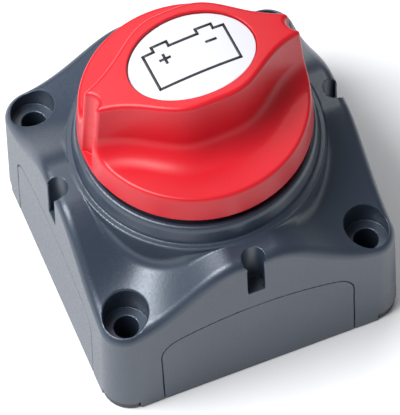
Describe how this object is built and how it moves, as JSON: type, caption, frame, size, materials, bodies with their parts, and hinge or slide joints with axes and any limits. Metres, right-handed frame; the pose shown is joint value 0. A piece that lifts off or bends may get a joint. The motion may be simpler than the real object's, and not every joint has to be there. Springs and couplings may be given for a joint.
{
  "type": "battery master switch",
  "caption": "Surface-mounted battery master switch: square base with arched sides, cable covers, rear cover and a rotary grip knob that joins two threaded terminal studs.",
  "frame": {"origin": "centre of the mounting face at the back of the switch", "axes": "+Z along the knob's axis, away from the mounting panel; +X along the grip at OFF, from the input terminal to the output terminal; +Y towards the back side"},
  "size_m": [0.069, 0.069, 0.076],
  "materials": {
    "body_plastic": "slate grey glass-filled moulding, fine texture",
    "dark_plastic": "near-black moulding",
    "pale_plastic": "natural low-friction moulding",
    "red_plastic": "satin red moulding",
    "label_plastic": "white printed insert",
    "seal_rubber": "black elastomer",
    "copper": "bare copper",
    "tinned_stud": "tin-plated copper alloy",
    "silver": "silver contact alloy",
    "steel": "stainless steel",
    "spring_steel": "spring steel"
  },
  "bodies": {
    "switch_base": {"housing": "body_plastic", "rear_cover": "dark_plastic", "front_side_cover": "body_plastic", "right_side_cover": "body_plastic", "back_side_cover": "body_plastic", "left_side_cover": "body_plastic", "contact_carrier": "dark_plastic", "carrier_screws": "steel", "chamber_gasket": "seal_rubber", "input_contact": "copper", "output_contact": "copper", "contact_tips": "silver", "input_stud": "tinned_stud", "output_stud": "tinned_stud", "terminal_nuts": "steel", "lock_washers": "steel", "flat_washers": "steel", "detent_springs": "spring_steel", "thrust_washer": "pale_plastic"},
    "knob_assembly": {"rotor": "pale_plastic", "shaft_seal": "seal_rubber", "contact_bridge": "copper", "bridge_tips": "silver", "contact_spring": "spring_steel", "spring_seat": "steel", "knob": "red_plastic", "knob_screw": "steel", "knob_washer": "steel", "knob_label": "label_plastic"}
  },
  "joints": [
    {"name": "knob_turn", "type": "hinge", "parent": "switch_base", "child": "knob_assembly", "pos_m": [0, 0, 0.049], "axis": [0, 0, -1], "range_deg": [0, 90], "deforming": ["detent_springs"]}
  ]
}
